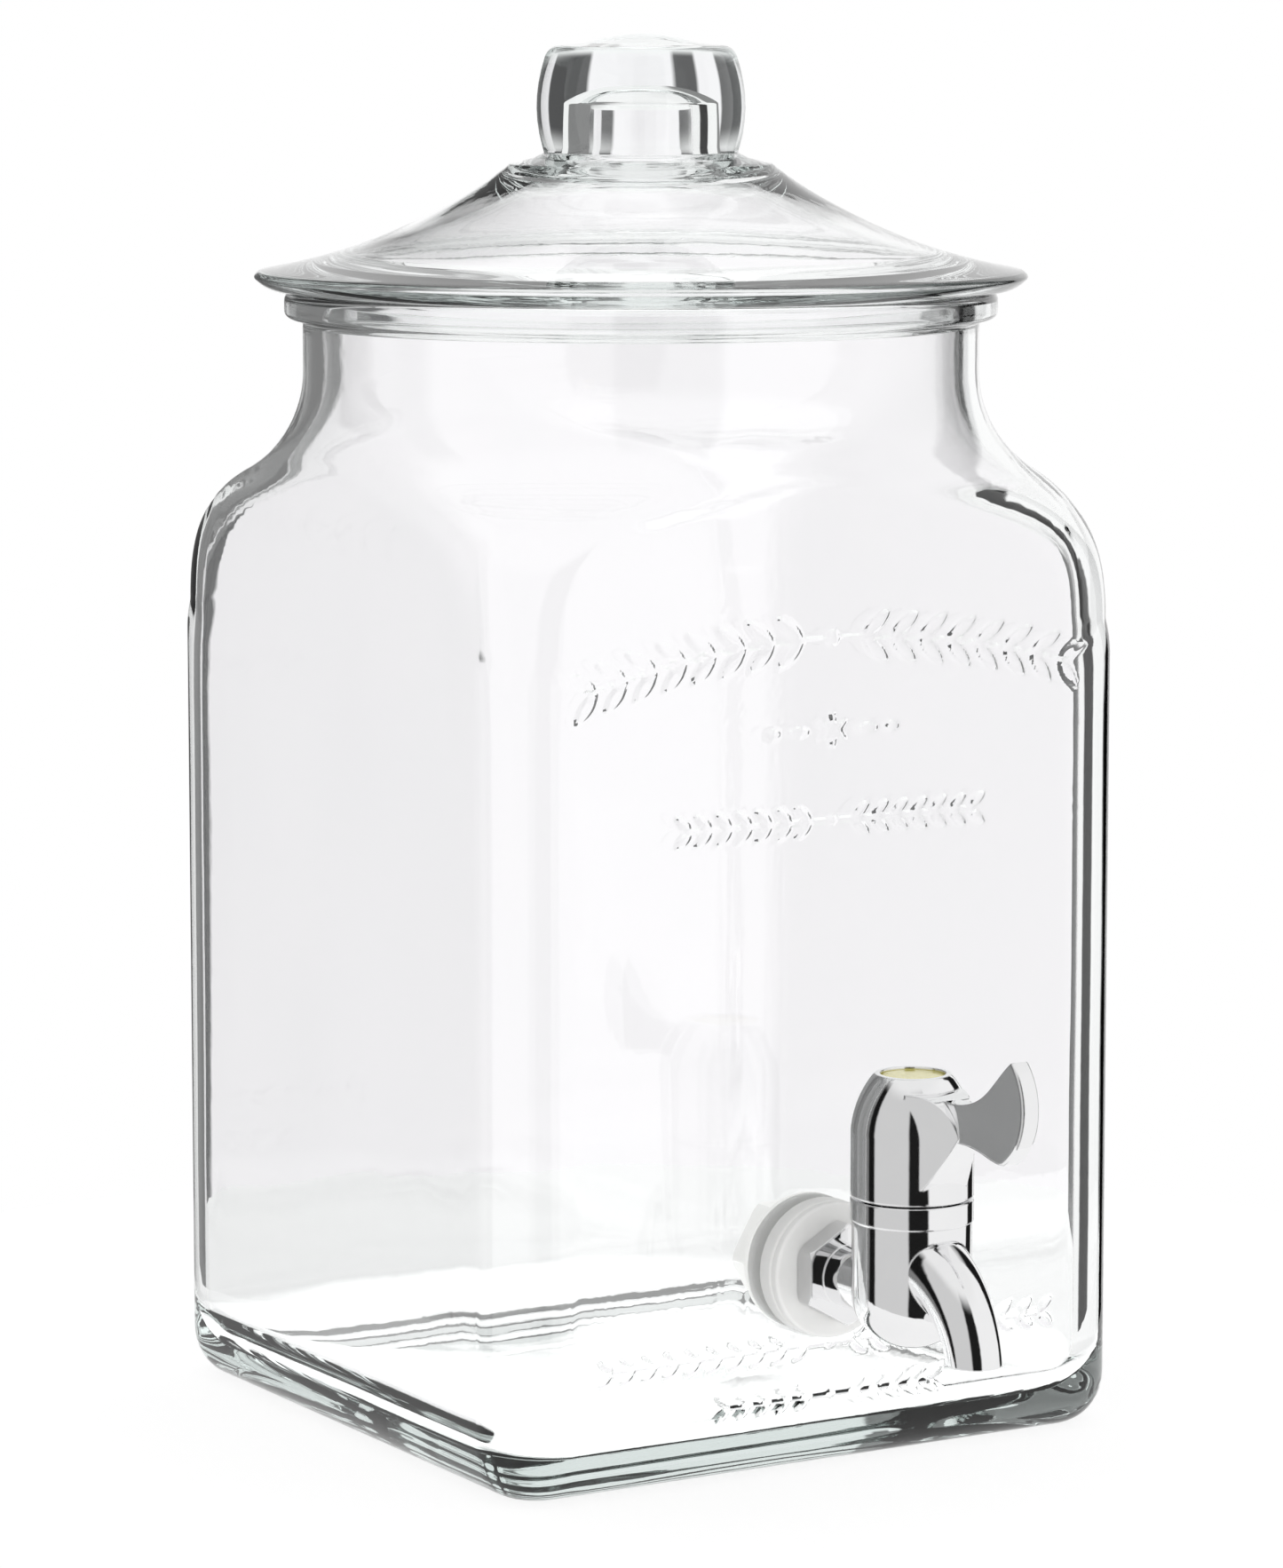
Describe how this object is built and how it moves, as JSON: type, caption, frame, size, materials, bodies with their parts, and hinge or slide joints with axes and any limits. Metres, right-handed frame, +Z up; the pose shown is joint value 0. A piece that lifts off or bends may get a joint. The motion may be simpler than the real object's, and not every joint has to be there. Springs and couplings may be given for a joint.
{
  "type": "glass liquid dispenser jar with spigot",
  "caption": "Square-shouldered clear glass dispenser jar with a lift-off glass knob lid, raised ornament and a quarter-turn chromed spigot near the foot.",
  "frame": {"origin": "middle of the flat base, on the vertical axis of the neck and lid", "axes": "+Z up; the spigot and the ornamented face look along -Y; +X to the right seen from the front"},
  "size_m": [0.1778, 0.2541, 0.3188],
  "materials": {
    "clear_glass": "clear, polished",
    "chrome_plate": "mirror polished plating on plastic",
    "white_silicone": "smooth, slightly translucent",
    "white_plastic": "satin moulded",
    "gold_disc": "gloss",
    "black_rubber": "satin",
    "plug_plastic": "satin moulded",
    "screw_steel": "bright"
  },
  "bodies": {
    "jar": {"glass_jar": "clear_glass", "spigot_body": "chrome_plate", "port_seat_seal": "black_rubber", "retaining_collar": "chrome_plate", "slip_washer": "white_plastic", "outer_gasket": "white_silicone", "outer_washer": "white_plastic", "inner_gasket": "white_silicone", "inner_washer": "white_plastic", "lock_nut": "white_plastic"},
    "lid": {"glass_lid": "clear_glass"},
    "tap_handle": {"lever_bonnet": "chrome_plate", "cap_disc": "gold_disc", "bonnet_screw": "screw_steel", "screw_washer": "screw_steel", "valve_plug": "plug_plastic", "plug_o_ring_lower": "black_rubber", "plug_o_ring_upper": "black_rubber"}
  },
  "joints": [
    {"name": "lid_lift", "type": "slide", "parent": "jar", "child": "lid", "axis": [0, 0, 1], "range_m": [0, 0.06]},
    {"name": "tap_turn", "type": "hinge", "parent": "jar", "child": "tap_handle", "pos_m": [-0.0034, -0.1202, 0.08], "axis": [0, 0, 1], "range_deg": [0, 90]}
  ]
}
